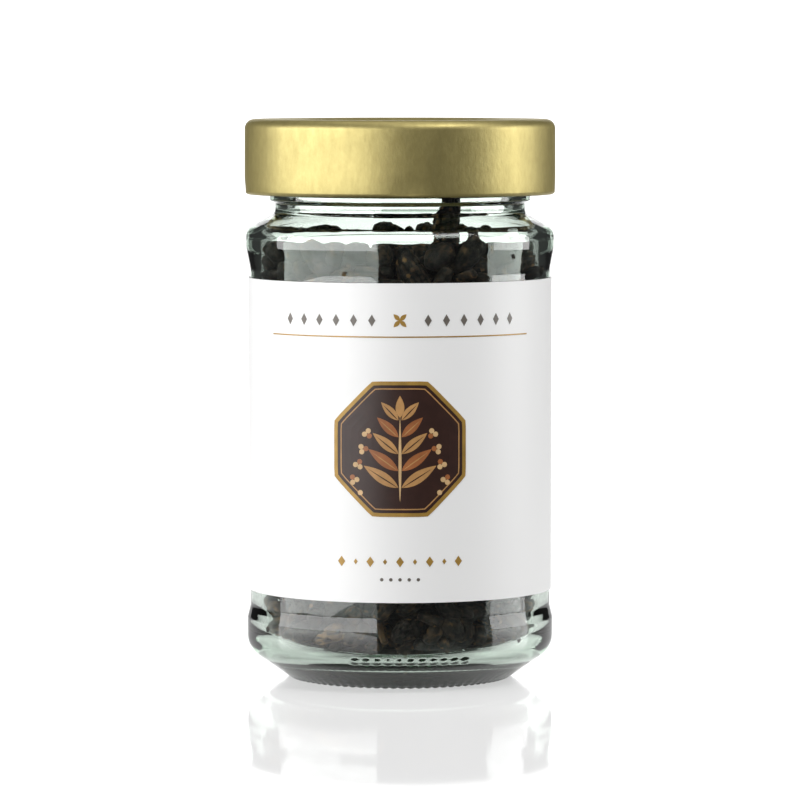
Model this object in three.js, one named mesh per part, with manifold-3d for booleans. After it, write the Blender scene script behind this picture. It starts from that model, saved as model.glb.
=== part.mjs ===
// A closed glass jar of whole long peppers: glass, label, lid, lid liner and the peppers themselves.
// Millimetres, +Z up. The origin lies on the jar's axis, in the plane of its foot ring,
// and the middle of the label faces -Y.

import * as THREE from 'three';
import { mergeVertices } from 'three/addons/utils/BufferGeometryUtils.js';
import Module from 'manifold-3d';

const wasm = await Module();
wasm.setup();

// Round pieces share these facets, so the label's flats lie over the glass's flats
const facets = 48;
const facetAngle = (2 * Math.PI) / facets;
const arcStep = THREE.MathUtils.degToRad(32);

const glass = {
  footInner: 20.8, // ring that the jar stands on
  footOuter: 23.2,
  punt: 1.6, // height of the hollow under the base
  puntEdge: 19.5,
  puntEdgeHeight: 0.9,
  heelTop: 6.4, // where the heel cone would meet the lower ring
  heelFillet: 5,
  lowerRing: 32.6,
  lowerRingTop: 13,
  panel: 31.95, // recessed label panel
  panelBottom: 15.6,
  panelTop: 87,
  upperRing: 32.8,
  upperRingBottom: 91.6,
  shoulder: 95.46, // where the shoulder cone would meet the upper ring
  shoulderFillet: 2.6,
  neck: 26.6,
  neckBottom: 99,
  neckFillet: 1.4,
  neckTop: 101.1,
  bead: 27.7, // transfer bead under the finish
  beadBottom: 101.6,
  beadTop: 102.7,
  beadFillet: 0.3,
  beadStep: 0.4,
  finish: 27.2, // threaded wall
  rim: 117.1,
  rimInner: 24.4,
  rimFillet: 1.2,
  bore: 24, // inside of the neck
  boreBottom: 97.8,
  boreFillet: 1.6,
  inside: 29.65, // inside of the body
  insideShoulder: 94.4,
  insideShoulderFillet: 2.2,
  floor: 5,
  floorEdge: 5.7,
  insideHeelFillet: 6.5,
};

const thread = {
  starts: 4,
  lead: 10, // rise for one whole turn
  height: 105.8, // middle of the ridge over a closed lug
  crest: 28.9,
  root: 26.4,
  rootHalf: 0.9,
  crestHalf: 0.35,
  from: -15, // degrees from the closed lug, counter-clockwise
  to: 55,
  step: 5,
  taper: 7, // degrees over which each end fades out
  endSize: 0.25, // of the full ridge, at its very ends
  firstAt: 4, // azimuth of the first lug
};

const lid = {
  radius: 33,
  top: 118.8,
  bottom: 102.9,
  sheet: 0.3,
  shoulder: 2,
  panelRadius: 21.8, // lower middle of the top
  panelDrop: 0.6,
  panelSlope: 1,
  curlInner: 30.6,
  curlTop: 104.7,
  curlFillet: 0.8,
  lugInner: 27.75,
  lugOuter: 30.9,
  lugBottom: 103.05,
  lugTop: 104.35,
  lugWidth: 12, // degrees
};

const liner = { inner: 23.6, outer: 29, bottom: 117.35, top: 118.25 };

const label = { inner: 32.07, outer: 32.27, bottom: 19.05, top: 85.3, flats: 46 };

const pepper = {
  count: 50,
  seed: 424,
  lengths: [40, 49],
  radii: [3.5, 3.9], // over the tops of the berries
  taper: 0.16, // share of the girth lost by the tip
  endPower: 5, // how late the ends start to round off
  endRoot: 0.42,
  capShare: 0.03, // of the length, from each end to its first ring
  relief: 0.62, // depth of the dips between berries
  reliefShare: 0.2, // and at most this share of the girth
  bends: [0.001, 0.006], // curvature, 1/mm
  sides: 8,
  rings: 10,
  stalkShare: 0.36, // share of the peppers that keep a stalk
  stalks: [3.5, 6],
  stalkRadius: 0.85,
  stalkSunk: 0.3,
  links: 3, // straight rods that stand for one pepper in the pile
  gap: 0.4, // least distance kept between neighbours
  wallGap: 0.65, // and to the facets of the glass
  pileTop: 93.4,
  scatterRadius: 20,
  scatterHeights: [16, 90],
  startSize: 0.25,
  growSteps: 900,
  settleSteps: 120,
  restSteps: 2200,
  fall: 0.01, // sinking per step while the pile settles
  restDepth: 0.02, // the pile is at rest when no overlap is deeper
};

// One pepper stands in the neck, with its tip above the rest of the pile
const standing = { x: 11, y: -7.5, tip: 103.6, lean: 9 };

// Geometry helpers

function outward(geometry) {
  const place = geometry.attributes.position;
  const index = geometry.index.array;
  const corners = [new THREE.Vector3(), new THREE.Vector3(), new THREE.Vector3()];
  let volume = 0;
  for (let i = 0; i < index.length; i += 3) {
    corners.forEach((corner, k) => corner.fromBufferAttribute(place, index[i + k]));
    volume += corners[0].dot(corners[1].cross(corners[2]));
  }
  if (volume < 0) {
    for (let i = 0; i < index.length; i += 3) {
      [index[i], index[i + 1]] = [index[i + 1], index[i]];
    }
  }
  return geometry;
}

function welded(geometry) {
  geometry.deleteAttribute('normal');
  geometry.deleteAttribute('uv');
  const merged = mergeVertices(geometry, 1e-4);
  const index = merged.index.array;
  const kept = [];
  for (let i = 0; i < index.length; i += 3) {
    const [a, b, c] = index.subarray(i, i + 3);
    // Triangles that collapse on the axis are dropped
    if (a !== b && b !== c && c !== a) kept.push(a, b, c);
  }
  merged.setIndex(kept);
  return outward(merged);
}

function meshOf(points, index) {
  const geometry = new THREE.BufferGeometry().setFromPoints(points);
  geometry.setIndex(index);
  return outward(geometry);
}

function solidOf(geometry) {
  return new wasm.Manifold(
    new wasm.Mesh({
      numProp: 3,
      vertProperties: new Float32Array(geometry.attributes.position.array),
      triVerts: new Uint32Array(geometry.index.array),
    }),
  );
}

function geometryOf(solid) {
  const mesh = solid.getMesh();
  const geometry = new THREE.BufferGeometry();
  geometry.setAttribute('position', new THREE.BufferAttribute(mesh.vertProperties, 3));
  geometry.setIndex(new THREE.BufferAttribute(mesh.triVerts, 1));
  return geometry;
}

// Corners are [radius, height, fillet], and a fillet becomes an arc tangent to both sides
function rounded(corners) {
  const points = [];
  corners.forEach(([x, y, fillet], i) => {
    const corner = new THREE.Vector2(x, y);
    if (!fillet) {
      points.push(corner);
      return;
    }
    const back = new THREE.Vector2(...corners[i - 1]).sub(corner).normalize();
    const ahead = new THREE.Vector2(...corners[i + 1]).sub(corner).normalize();
    const turn = Math.PI - Math.acos(back.dot(ahead));
    const side = Math.sign(ahead.cross(back));
    const inward = back.clone().add(ahead).normalize();
    const centre = corner.clone().addScaledVector(inward, fillet / Math.cos(turn / 2));
    const start = corner.clone().addScaledVector(back, fillet * Math.tan(turn / 2)).sub(centre);
    const steps = Math.max(1, Math.round(turn / arcStep));
    for (let k = 0; k <= steps; k += 1) {
      const spoke = start.clone().rotateAround(new THREE.Vector2(), (side * turn * k) / steps);
      points.push(centre.clone().add(spoke));
    }
  });
  return points;
}

function turned(points) {
  const geometry = new THREE.LatheGeometry(points, facets);
  geometry.rotateX(Math.PI / 2);
  return welded(geometry);
}

// A solid through a row of sections that all have the same number of points
function lofted(sections) {
  const sides = sections[0].length;
  const last = (sections.length - 1) * sides;
  const index = [];
  for (let s = 0; s < sections.length - 1; s += 1) {
    for (let k = 0; k < sides; k += 1) {
      const a = s * sides + k;
      const b = s * sides + ((k + 1) % sides);
      index.push(a, b, b + sides, a, b + sides, a + sides);
    }
  }
  for (let k = 1; k < sides - 1; k += 1) {
    index.push(0, k + 1, k);
    index.push(last, last + k, last + k + 1);
  }
  return meshOf(sections.flat(), index);
}

function onCircle(radius, azimuth, height) {
  return new THREE.Vector3(radius * Math.cos(azimuth), radius * Math.sin(azimuth), height);
}

// Jar

function threadRidge(lugAzimuth) {
  const sections = [];
  for (let angle = thread.from; angle <= thread.to; angle += thread.step) {
    const azimuth = THREE.MathUtils.degToRad(lugAzimuth + angle);
    const height = thread.height + (thread.lead * angle) / 360;
    const end = Math.min(angle - thread.from, thread.to - angle) / thread.taper;
    const fade = Math.min(1, THREE.MathUtils.lerp(thread.endSize, 1, end));
    const crest = THREE.MathUtils.lerp(glass.finish, thread.crest, fade);
    sections.push([
      onCircle(thread.root, azimuth, height - thread.rootHalf * fade),
      onCircle(crest, azimuth, height - thread.crestHalf * fade),
      onCircle(crest, azimuth, height + thread.crestHalf * fade),
      onCircle(thread.root, azimuth, height + thread.rootHalf * fade),
    ]);
  }
  return lofted(sections);
}

function jarGlass() {
  const g = glass;
  const profile = rounded([
    [0, g.punt],
    [g.puntEdge, g.puntEdgeHeight],
    [g.footInner, 0],
    [g.footOuter, 0],
    [g.lowerRing, g.heelTop, g.heelFillet],
    [g.lowerRing, g.lowerRingTop],
    [g.panel, g.panelBottom],
    [g.panel, g.panelTop],
    [g.upperRing, g.upperRingBottom],
    [g.upperRing, g.shoulder, g.shoulderFillet],
    [g.neck, g.neckBottom, g.neckFillet],
    [g.neck, g.neckTop],
    [g.bead, g.beadBottom, g.beadFillet],
    [g.bead, g.beadTop, g.beadFillet],
    [g.finish, g.beadTop + g.beadStep],
    [g.finish, g.rim, g.rimFillet],
    [g.rimInner, g.rim, g.rimFillet],
    [g.bore, g.neckTop],
    [g.bore, g.boreBottom, g.boreFillet],
    [g.inside, g.insideShoulder, g.insideShoulderFillet],
    [g.inside, g.floorEdge, g.insideHeelFillet],
    [0, g.floor],
  ]);
  let body = solidOf(turned(profile));
  for (let k = 0; k < thread.starts; k += 1) {
    body = body.add(solidOf(threadRidge(thread.firstAt + (360 * k) / thread.starts)));
  }
  return geometryOf(body);
}

function labelSheet() {
  const sections = [];
  // The sheet is centred on -Y, and its two ends leave a bare strip at the back
  const start = -Math.PI / 2 - (label.flats / 2) * facetAngle;
  for (let k = 0; k <= label.flats; k += 1) {
    const azimuth = start + k * facetAngle;
    sections.push([
      onCircle(label.inner, azimuth, label.bottom),
      onCircle(label.outer, azimuth, label.bottom),
      onCircle(label.outer, azimuth, label.top),
      onCircle(label.inner, azimuth, label.top),
    ]);
  }
  return lofted(sections);
}

// Lid

function lidLug(azimuth) {
  const sections = [-0.5, 0, 0.5].map((share) => {
    const at = THREE.MathUtils.degToRad(azimuth + share * lid.lugWidth);
    return [
      onCircle(lid.lugInner, at, lid.lugBottom),
      onCircle(lid.lugOuter, at, lid.lugBottom),
      onCircle(lid.lugOuter, at, lid.lugTop),
      onCircle(lid.lugInner, at, lid.lugTop),
    ];
  });
  return lofted(sections);
}

function lidShell() {
  const t = lid.sheet;
  const innerWall = lid.radius - t;
  const panelTop = lid.top - lid.panelDrop;
  const slopeEnd = lid.panelRadius + lid.panelSlope;
  const profile = rounded([
    [0, panelTop],
    [lid.panelRadius, panelTop],
    [slopeEnd, lid.top],
    [lid.radius, lid.top, lid.shoulder],
    [lid.radius, lid.bottom, lid.curlFillet],
    [lid.curlInner, lid.bottom, lid.curlFillet],
    [lid.curlInner, lid.curlTop, lid.curlFillet],
    [innerWall, lid.curlTop + t],
    [innerWall, lid.top - t, lid.shoulder - t],
    [slopeEnd, lid.top - t],
    [lid.panelRadius, panelTop - t],
    [0, panelTop - t],
  ]);
  let shell = solidOf(turned(profile));
  for (let k = 0; k < thread.starts; k += 1) {
    shell = shell.add(solidOf(lidLug(thread.firstAt + (360 * k) / thread.starts)));
  }
  return geometryOf(shell);
}

function linerRing() {
  return turned([
    new THREE.Vector2(liner.inner, liner.bottom),
    new THREE.Vector2(liner.outer, liner.bottom),
    new THREE.Vector2(liner.outer, liner.top),
    new THREE.Vector2(liner.inner, liner.top),
    new THREE.Vector2(liner.inner, liner.bottom),
  ]);
}

// Peppers

function randomSource(seed) {
  let state = seed;
  return () => {
    state = (state * 1664525 + 1013904223) >>> 0;
    return state / 4294967296;
  };
}

function between([low, high], share) {
  return low + (high - low) * share;
}

// A pepper lies along its own X axis, stalk end first, and bows towards its +Y
function spinePoint(one, along) {
  const bow = (one.bend * (along * along - (one.length * one.length) / 12)) / 2;
  return new THREE.Vector3(along, bow, 0);
}

function girth(one, share) {
  const fromMiddle = Math.abs(2 * share - 1);
  const ends = Math.pow(1 - Math.pow(fromMiddle, pepper.endPower), pepper.endRoot);
  return one.radius * (1 - pepper.taper * share) * ends;
}

// Links are the round-ended rods that stand for a pepper while the pile is worked out
function addLink(one, from, to, radius) {
  one.links.push({
    from: spinePoint(one, from),
    to: spinePoint(one, to),
    radius,
    line: new THREE.Line3(),
  });
}

function newPepper(random) {
  const one = {
    length: between(pepper.lengths, random()),
    radius: between(pepper.radii, random()),
    bend: between(pepper.bends, random()),
    stalk: random() < pepper.stalkShare ? between(pepper.stalks, random()) : 0,
    centre: new THREE.Vector3(),
    turn: new THREE.Quaternion(),
    held: false,
    links: [],
  };
  const start = -one.length / 2 + one.radius;
  const narrowing = pepper.taper / pepper.links;
  const end = one.length / 2 - one.radius * (1 - (pepper.links - 1) * narrowing);
  for (let k = 0; k < pepper.links; k += 1) {
    const from = THREE.MathUtils.lerp(start, end, k / pepper.links);
    const to = THREE.MathUtils.lerp(start, end, (k + 1) / pepper.links);
    addLink(one, from, to, one.radius * (1 - narrowing * k));
  }
  if (one.stalk) {
    const base = -one.length / 2;
    addLink(one, base - one.stalk + pepper.stalkRadius, base, pepper.stalkRadius);
  }
  return one;
}

function scatter(one, random) {
  const azimuth = 2 * Math.PI * random();
  const radius = pepper.scatterRadius * Math.sqrt(random());
  one.centre.copy(onCircle(radius, azimuth, between(pepper.scatterHeights, random())));
  const axis = new THREE.Vector3(random() - 0.5, random() - 0.5, random() - 0.5).normalize();
  one.turn.setFromAxisAngle(axis, 2 * Math.PI * random());
}

function stand(one) {
  const lean = THREE.MathUtils.degToRad(90 - standing.lean);
  one.turn.setFromAxisAngle(new THREE.Vector3(0, -1, 0), lean);
  const tip = spinePoint(one, one.length / 2).applyQuaternion(one.turn);
  one.centre.set(standing.x, standing.y, standing.tip).sub(tip);
  one.held = true;
}

function layLinks(one) {
  one.links.forEach((link) => {
    link.line.start.copy(link.from).applyQuaternion(one.turn).add(one.centre);
    link.line.end.copy(link.to).applyQuaternion(one.turn).add(one.centre);
  });
}

// A pepper turns like a thin rod of unit mass, whose inertia is length * length / 12
function inertia(one) {
  return (one.length * one.length) / 12;
}

// How readily a pepper gives way to a push at a point
function giving(one, at, direction) {
  if (one.held) return 0;
  const arm = at.clone().sub(one.centre).cross(direction);
  return 1 + arm.lengthSq() / inertia(one);
}

function shove(one, at, direction, amount) {
  if (one.held) return;
  const arm = at.clone().sub(one.centre).cross(direction);
  const spin = arm.multiplyScalar(amount / inertia(one));
  const angle = spin.length();
  one.centre.addScaledVector(direction, amount);
  if (angle > 1e-9) {
    const step = new THREE.Quaternion().setFromAxisAngle(spin.divideScalar(angle), angle);
    one.turn.premultiply(step).normalize();
  }
  layLinks(one);
}

const nearOne = new THREE.Vector3();
const nearTwo = new THREE.Vector3();

function partPair(one, two, size) {
  const reach = (one.length + two.length) / 2 + one.stalk + two.stalk;
  if (one.centre.distanceTo(two.centre) > reach) return 0;
  let worst = 0;
  for (const linkOne of one.links) {
    for (const linkTwo of two.links) {
      const room = (linkOne.radius + linkTwo.radius + pepper.gap) * size;
      const squared = linkOne.line.distanceSqToLine3(linkTwo.line, nearOne, nearTwo);
      if (squared >= room * room) continue;
      const apart = nearOne.clone().sub(nearTwo);
      const distance = apart.length();
      const direction = distance > 1e-6 ? apart.divideScalar(distance) : new THREE.Vector3(0, 0, 1);
      const total = giving(one, nearOne, direction) + giving(two, nearTwo, direction);
      if (total === 0) continue;
      const depth = room - distance;
      const atTwo = nearTwo.clone();
      shove(one, nearOne.clone(), direction, depth / total);
      shove(two, atTwo, direction.negate(), depth / total);
      worst = Math.max(worst, depth);
    }
  }
  return worst;
}

// How far a ball at a point passes through the inside of the jar, and which way is back
function wallPush(at, radius) {
  const pushes = [];
  const out = Math.hypot(at.x, at.y);
  const home = new THREE.Vector3(-at.x / (out || 1), -at.y / (out || 1), 0);
  const up = new THREE.Vector3(0, 0, 1);
  pushes.push([out + radius - glass.inside, home]);
  pushes.push([glass.floorEdge + radius - at.z, up]);
  pushes.push([at.z + radius - pepper.pileTop, up.clone().negate()]);
  // Rounded corner between floor and wall
  const corner = glass.insideHeelFillet;
  const cornerOut = out - (glass.inside - corner);
  const cornerDown = glass.floorEdge + corner - at.z;
  if (cornerOut > 0 && cornerDown > 0) {
    const away = Math.hypot(cornerOut, cornerDown);
    const back = home.clone().multiplyScalar(cornerOut).addScaledVector(up, cornerDown);
    pushes.push([away + radius - corner, back.normalize()]);
  }
  // Underside of the shoulder cone, carried on inwards over the mouth
  const run = glass.inside - glass.bore;
  const rise = glass.boreBottom - glass.insideShoulder;
  const over = (out - glass.inside) * rise + (at.z - glass.insideShoulder) * run;
  const under = home.clone().multiplyScalar(rise).addScaledVector(up, -run);
  pushes.push([over / Math.hypot(run, rise) + radius, under.normalize()]);
  return pushes;
}

function keepInside(one, size) {
  let worst = 0;
  for (const link of one.links) {
    for (const at of [link.line.start, link.line.end]) {
      const radius = (link.radius + pepper.wallGap) * size;
      for (const [depth, direction] of wallPush(at, radius)) {
        if (depth <= 0) continue;
        const giveWay = giving(one, at, direction);
        if (giveWay > 0) shove(one, at.clone(), direction, depth / giveWay);
        worst = Math.max(worst, one.held ? 0 : depth);
      }
    }
  }
  return worst;
}

// Peppers grow from thin rods and push each other apart, then sink, then come to rest
function pileOfPeppers() {
  const random = randomSource(pepper.seed);
  const pile = [];
  for (let k = 0; k < pepper.count; k += 1) {
    const one = newPepper(random);
    if (k === 0) stand(one);
    else scatter(one, random);
    layLinks(one);
    pile.push(one);
  }
  const steps = pepper.growSteps + pepper.settleSteps + pepper.restSteps;
  for (let step = 0; step < steps; step += 1) {
    const size = Math.min(1, pepper.startSize + step / pepper.growSteps);
    const sinking = step > pepper.growSteps && step < pepper.growSteps + pepper.settleSteps;
    let worst = 0;
    pile.forEach((one, i) => {
      if (sinking && !one.held) one.centre.z -= pepper.fall;
      layLinks(one);
      for (let j = 0; j < i; j += 1) worst = Math.max(worst, partPair(one, pile[j], size));
      worst = Math.max(worst, keepInside(one, size));
    });
    if (!sinking && step > pepper.growSteps && worst < pepper.restDepth) break;
  }
  return pile;
}

function pepperRing(one, along, radius, ringNumber, relief) {
  const middle = spinePoint(one, along);
  const points = [];
  for (let side = 0; side < pepper.sides; side += 1) {
    const azimuth = (2 * Math.PI * side) / pepper.sides;
    const dip = (ringNumber + side) % 2 ? relief : 0;
    const spoke = new THREE.Vector3(0, Math.cos(azimuth), Math.sin(azimuth));
    points.push(middle.clone().addScaledVector(spoke, radius - dip));
  }
  return points;
}

// Berries stand out as a chequer of raised points, with each dip joined to the next
function pepperBody(one) {
  const rings = [];
  if (one.stalk) {
    const start = -one.length / 2;
    rings.push(pepperRing(one, start - one.stalk, pepper.stalkRadius, 0, 0));
    rings.push(pepperRing(one, start + pepper.stalkSunk, pepper.stalkRadius, 1, 0));
  }
  for (let k = 0; k < pepper.rings; k += 1) {
    const along = k / (pepper.rings - 1);
    const share = THREE.MathUtils.lerp(pepper.capShare, 1 - pepper.capShare, along);
    const radius = girth(one, share);
    const relief = Math.min(pepper.relief, radius * pepper.reliefShare);
    rings.push(pepperRing(one, (share - 0.5) * one.length, radius, k, relief));
  }
  const first = spinePoint(one, -one.length / 2 - one.stalk);
  const last = spinePoint(one, one.length / 2);
  const points = [...rings.flat(), first, last];
  const index = [];
  for (let r = 0; r < rings.length - 1; r += 1) {
    for (let k = 0; k < pepper.sides; k += 1) {
      const a = r * pepper.sides + k;
      const b = r * pepper.sides + ((k + 1) % pepper.sides);
      const c = b + pepper.sides;
      const d = a + pepper.sides;
      if ((r + k) % 2) index.push(a, b, c, a, c, d);
      else index.push(a, b, d, b, c, d);
    }
  }
  const end = (rings.length - 1) * pepper.sides;
  for (let k = 0; k < pepper.sides; k += 1) {
    const next = (k + 1) % pepper.sides;
    index.push(points.length - 2, next, k);
    index.push(points.length - 1, end + k, end + next);
  }
  return meshOf(points, index);
}

// Finishes

const finishes = {
  glass: { color: 0xdfeee4, roughness: 0.03, metalness: 0, transparent: true, opacity: 0.35 },
  lid: { color: 0xcdb872, roughness: 0.34, metalness: 0.9 },
  liner: { color: 0xe9e4d4, roughness: 0.7, metalness: 0 },
  label: { color: 0xf7f7f5, roughness: 0.45, metalness: 0 },
  pepper: { color: 0x3b271b, roughness: 0.85, metalness: 0 },
};

function piece(name, geometry, finish) {
  const mesh = new THREE.Mesh(geometry, new THREE.MeshStandardMaterial(finishes[finish]));
  mesh.name = name;
  return mesh;
}

const jar = new THREE.Group();
jar.add(piece('jar_glass', jarGlass(), 'glass'));
jar.add(piece('jar_label', labelSheet(), 'label'));
jar.add(piece('lid_liner', linerRing(), 'liner'));
jar.add(piece('jar_lid', lidShell(), 'lid'));

pileOfPeppers().forEach((one, i) => {
  const mesh = piece(`pepper_${String(i + 1).padStart(2, '0')}`, pepperBody(one), 'pepper');
  mesh.position.copy(one.centre);
  mesh.quaternion.copy(one.turn);
  jar.add(mesh);
});

export default jar;
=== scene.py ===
import math

import bpy
import numpy as np
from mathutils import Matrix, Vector


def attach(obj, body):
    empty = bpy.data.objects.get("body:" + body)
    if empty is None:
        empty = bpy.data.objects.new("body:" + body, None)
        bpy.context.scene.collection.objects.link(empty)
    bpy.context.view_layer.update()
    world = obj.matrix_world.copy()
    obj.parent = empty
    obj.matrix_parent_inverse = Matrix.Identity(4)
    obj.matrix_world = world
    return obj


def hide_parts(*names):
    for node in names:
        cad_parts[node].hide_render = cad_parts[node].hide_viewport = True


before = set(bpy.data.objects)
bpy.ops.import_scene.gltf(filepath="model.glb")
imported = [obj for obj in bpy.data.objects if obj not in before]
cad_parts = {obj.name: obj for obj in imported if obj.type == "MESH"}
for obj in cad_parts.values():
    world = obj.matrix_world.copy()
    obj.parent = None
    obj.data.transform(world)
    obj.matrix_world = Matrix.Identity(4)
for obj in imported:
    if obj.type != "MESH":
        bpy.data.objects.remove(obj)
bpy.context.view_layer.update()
mm = 0.001
print("frame loaded:", len(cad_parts), "nodes")


def addNode(tree, kind, **settings):
    node = tree.nodes.new(kind)
    for key, value in settings.items():
        setattr(node, key, value)
    return node


# The camera looks level with the lid, from the front, a little down

cameraView = {"lens": 219.06, "distance": 1.035, "height": 0.130, "aimHeight": 0.0590}


def placeCamera(view):
    data = bpy.data.cameras.new("camera")
    camera = bpy.data.objects.new("camera", data)
    bpy.context.scene.collection.objects.link(camera)
    data.lens = view["lens"]
    camera.location = (0, -view["distance"], view["height"])
    aim = Vector((0, 0, view["aimHeight"])) - camera.location
    camera.rotation_euler = aim.to_track_quat("-Z", "Y").to_euler()
    bpy.context.scene.camera = camera


placeCamera(cameraView)

# Light: softboxes at both sides that show in the glass and the lid, two that fill in from above, and a
# white sweep in a dark room

softboxes = {
    "left": {"azimuth": -60.5, "away": 0.9, "up": 0.27, "aim": 0.27, "size": (1.7, 0.52), "radiance": 5.6},
    "right": {"azimuth": 91, "away": 0.9, "up": 0.27, "aim": 0.27, "size": (0.6, 0.52), "radiance": 5.7},
    "top": {"azimuth": 180, "away": 0.15, "up": 1.5, "aim": 0.6, "size": (1.3, 1.3), "radiance": 1.1},
    "front": {"azimuth": 45, "away": 1.0, "up": 1.5, "aim": 0.6, "size": (1.2, 0.7), "radiance": 5.8},
}
studio = {
    "room": 0.04, "beyond": 1.2,
    "floor": 0.55, "floorGloss": 0.05, "glow": 0.45, "wallGlow": 0.85, "wallFrom": 0.5,
    "front": -0.184, "back": 1.1, "halfWidth": 0.28, "top": 0.6, "bend": 0.3, "bendSteps": 16,
    "dimFrom": -0.6, "dimTo": 0.0, "dimmed": 0.12,
}


def placeSoftbox(name, box):
    data = bpy.data.lights.new("softbox_" + name, "AREA")
    light = bpy.data.objects.new("softbox_" + name, data)
    bpy.context.scene.collection.objects.link(light)
    data.shape = "RECTANGLE"
    data.size, data.size_y = box["size"]
    data.energy = box["radiance"] * math.pi * box["size"][0] * box["size"][1]
    azimuth = math.radians(box["azimuth"])
    light.location = (box["away"] * math.sin(azimuth), -box["away"] * math.cos(azimuth), box["up"])
    target = Vector((0, 0, box["aim"]))
    light.rotation_euler = (target - light.location).to_track_quat("-Z", "Y").to_euler()


# The floor is glossy, and its glow and colour also paint its reflection of the backdrop: pale to the camera,
# and dim to what looks at it from behind
def dimFromBehind(tree, shader, glow, room):
    facing = addNode(tree, "ShaderNodeNewGeometry")
    parts = addNode(tree, "ShaderNodeSeparateXYZ")
    tree.links.new(facing.outputs["Incoming"], parts.inputs[0])
    seen = addNode(tree, "ShaderNodeLightPath")
    frontness = addNode(tree, "ShaderNodeMath", operation="MULTIPLY_ADD")
    frontness.inputs[1].default_value = -2
    tree.links.new(seen.outputs["Is Camera Ray"], frontness.inputs[0])
    tree.links.new(parts.outputs["Y"], frontness.inputs[2])
    for socket, level in (("Base Color", room["floor"]), ("Emission Strength", glow)):
        share = addNode(tree, "ShaderNodeMapRange")
        share.inputs["From Min"].default_value = room["dimFrom"]
        share.inputs["From Max"].default_value = room["dimTo"]
        share.inputs["To Min"].default_value = level
        share.inputs["To Max"].default_value = level * room["dimmed"]
        tree.links.new(frontness.outputs[0], share.inputs["Value"])
        tree.links.new(share.outputs["Result"], shader.inputs[socket])


def buildStudio(room):
    world = bpy.data.worlds.new("room")
    bpy.context.scene.world = world
    world.use_nodes = True
    # A dark room lights the jar and shows in its glass, and past the sweep the picture stays white
    tree = world.node_tree
    seen = addNode(tree, "ShaderNodeLightPath")
    level = addNode(tree, "ShaderNodeMapRange")
    level.inputs["To Min"].default_value = room["room"]
    level.inputs["To Max"].default_value = room["beyond"]
    tree.links.new(seen.outputs["Is Camera Ray"], level.inputs["Value"])
    tree.links.new(level.outputs["Result"], tree.nodes["Background"].inputs["Color"])
    # The sweep runs flat along the floor, then bends up into the backdrop
    bend = room["bend"]
    line = [(room["front"], 0)]
    for k in range(room["bendSteps"] + 1):
        turn = math.pi / 2 * k / room["bendSteps"]
        line.append((room["back"] - bend + bend * math.sin(turn), bend - bend * math.cos(turn)))
    line.append((room["back"], room["top"]))
    points = [(side * room["halfWidth"], y, z) for y, z in line for side in (-1, 1)]
    faces = [(2 * k, 2 * k + 1, 2 * k + 3, 2 * k + 2) for k in range(len(line) - 1)]
    mesh = bpy.data.meshes.new("studio_sweep")
    mesh.from_pydata(points, [], faces)
    mesh.shade_smooth()
    sweep = bpy.data.objects.new("studio_sweep", mesh)
    bpy.context.scene.collection.objects.link(sweep)
    for name, glow in (("paleFloor", room["glow"]), ("paleWall", room["wallGlow"])):
        material = bpy.data.materials.new(name)
        material.use_nodes = True
        shader = material.node_tree.nodes["Principled BSDF"]
        shader.inputs["Base Color"].default_value = (room["floor"],) * 3 + (1,)
        shader.inputs["Roughness"].default_value = room["floorGloss"]
        shader.inputs["Emission Color"].default_value = (1, 1, 1, 1)
        shader.inputs["Emission Strength"].default_value = glow
        if name == "paleFloor":
            dimFromBehind(material.node_tree, shader, glow, room)
        mesh.materials.append(material)
    for face in mesh.polygons:
        face.material_index = int(face.center.y > room["wallFrom"])


for boxName, box in softboxes.items():
    placeSoftbox(boxName, box)
buildStudio(studio)
bpy.context.scene.view_settings.view_transform = "Standard"
print("camera and studio ready")

# Mesh helpers


def turnOutward(points, faces):
    corners = points[faces]
    volume = 0.0
    for k in range(1, corners.shape[1] - 1):
        volume += np.einsum("ij,ij->", corners[:, 0], np.cross(corners[:, k], corners[:, k + 1]))
    return faces if volume > 0 else faces[:, ::-1]


def addPiece(name, points, faces, materials, body, replaced=(), faceMaterials=None):
    mesh = bpy.data.meshes.new(name)
    mesh.from_pydata(np.asarray(points).tolist(), [], [list(face) for face in faces])
    mesh.shade_smooth()
    for material in materials:
        mesh.materials.append(material)
    if faceMaterials is not None:
        mesh.polygons.foreach_set("material_index", np.asarray(faceMaterials, np.int32))
    piece = bpy.data.objects.new(name, mesh)
    bpy.context.scene.collection.objects.link(piece)
    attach(piece, body)
    if replaced:
        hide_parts(*replaced)
    return piece


def addFloat(piece, name, values):
    attribute = piece.data.attributes.new(name, "FLOAT", "POINT")
    attribute.data.foreach_set("value", np.asarray(values, np.float32))


def gridFaces(rows, columns, closed=True):
    across = columns if closed else columns - 1
    row, column = np.meshgrid(np.arange(rows - 1), np.arange(across), indexing="ij")
    here = row * columns + column
    after = row * columns + (column + 1) % columns
    return np.stack([here, after, after + columns, here + columns], -1).reshape(-1, 4)


def smoothStep(low, high, value):
    t = np.clip((value - low) / (high - low), 0, 1)
    return t * t * (3 - 2 * t)


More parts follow.
